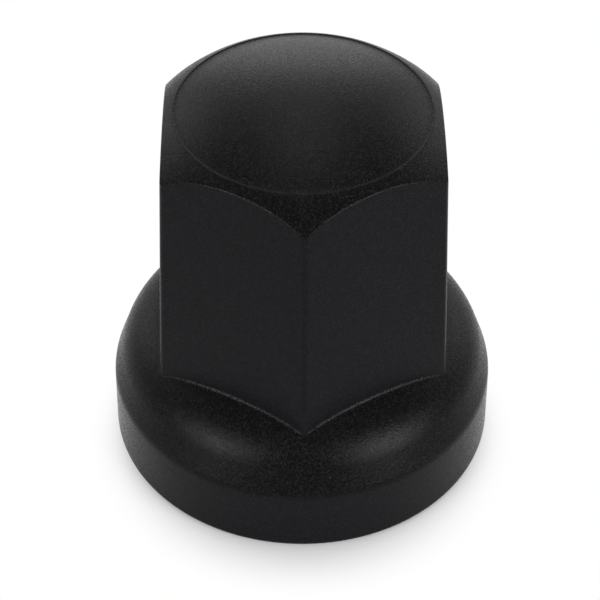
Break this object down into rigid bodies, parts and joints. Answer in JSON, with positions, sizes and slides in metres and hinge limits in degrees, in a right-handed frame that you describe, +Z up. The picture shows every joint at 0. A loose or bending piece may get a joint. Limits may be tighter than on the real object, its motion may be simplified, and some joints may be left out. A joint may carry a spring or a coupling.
{
  "type": "lug nut cap",
  "caption": "Push-on cover for a flanged wheel nut: a tapered hexagonal tower with a domed top on a round hollow skirt, moulded in one piece of matt black plastic.",
  "frame": {"origin": "centre of the rim, on the plane of the wheel's face", "axes": "+Z up through the nut to the dome; two corners of the tower lie on the Y axis and two of its faces look along X"},
  "size_m": [0.0526, 0.0526, 0.0574],
  "materials": {
    "cap_plastic": "fine spark-eroded grain, satin"
  },
  "bodies": {
    "root": {"nut_cap": "cap_plastic"}
  },
  "joints": []
}
